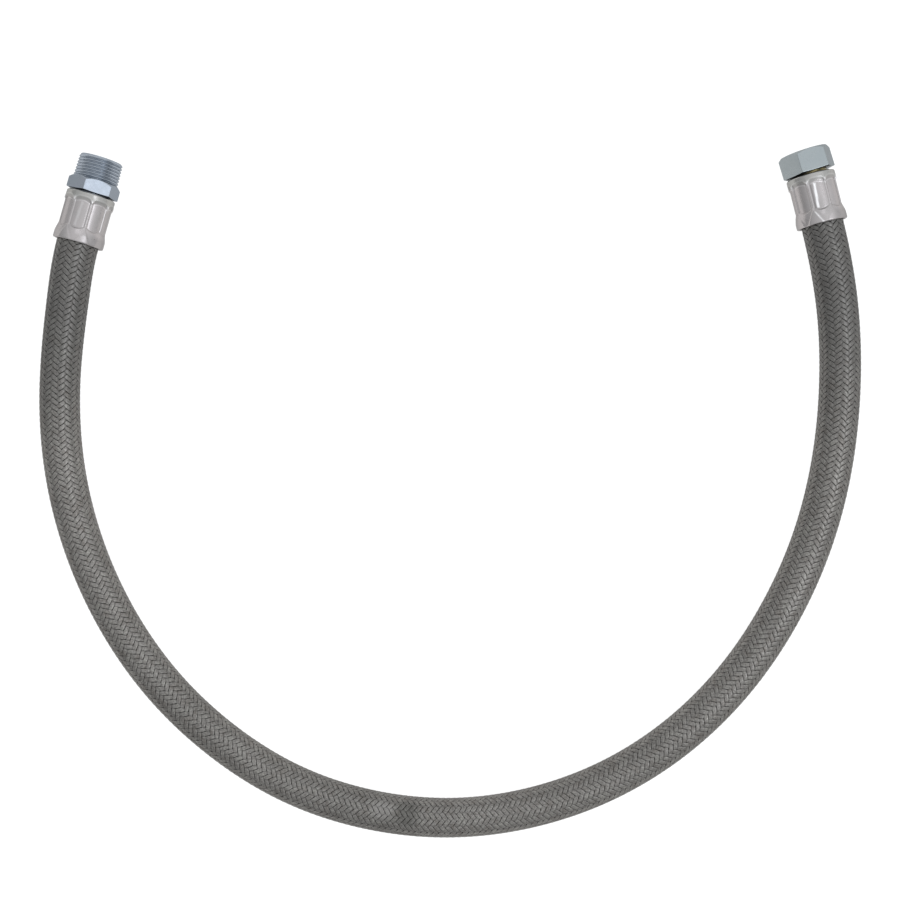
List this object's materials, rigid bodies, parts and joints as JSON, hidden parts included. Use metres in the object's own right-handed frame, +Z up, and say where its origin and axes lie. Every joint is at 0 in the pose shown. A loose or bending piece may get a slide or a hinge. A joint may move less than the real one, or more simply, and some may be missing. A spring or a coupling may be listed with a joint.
{
  "type": "flexible tube",
  "caption": "Wire-braided rubber hose bent in a wide U, with a fixed taper-thread male fitting at one end and a swivel nut with a cone-nosed nipple at the other.",
  "frame": {"origin": "middle of the footprint, on the surface that the hose lies on", "axes": "+Z up from the surface, +X across the U from the male fitting to the swivel fitting, +Y towards the free ends of both fittings"},
  "size_m": [0.6176, 0.5208, 0.039],
  "materials": {
    "braid_wire": "braided bare steel wire, dull grey",
    "liner_rubber": "black synthetic rubber",
    "pressed_steel": "pressed steel sleeve, satin",
    "zinc_plate": "machined steel with bright zinc plating",
    "brass": "machined brass, slightly dull"
  },
  "bodies": {
    "hose_assembly": {"wire_braid": "braid_wire", "rubber_liner": "liner_rubber", "male_nipple": "zinc_plate", "male_ferrule": "pressed_steel", "swivel_nipple": "brass", "swivel_ferrule": "pressed_steel"},
    "nut": {"swivel_nut": "zinc_plate"}
  },
  "joints": [
    {"name": "nut_swivel", "type": "hinge", "parent": "hose_assembly", "child": "nut", "pos_m": [0.27015, 0.2394, 0.0188], "axis": [-0.2924, 0.9563, 0], "continuous": true}
  ]
}
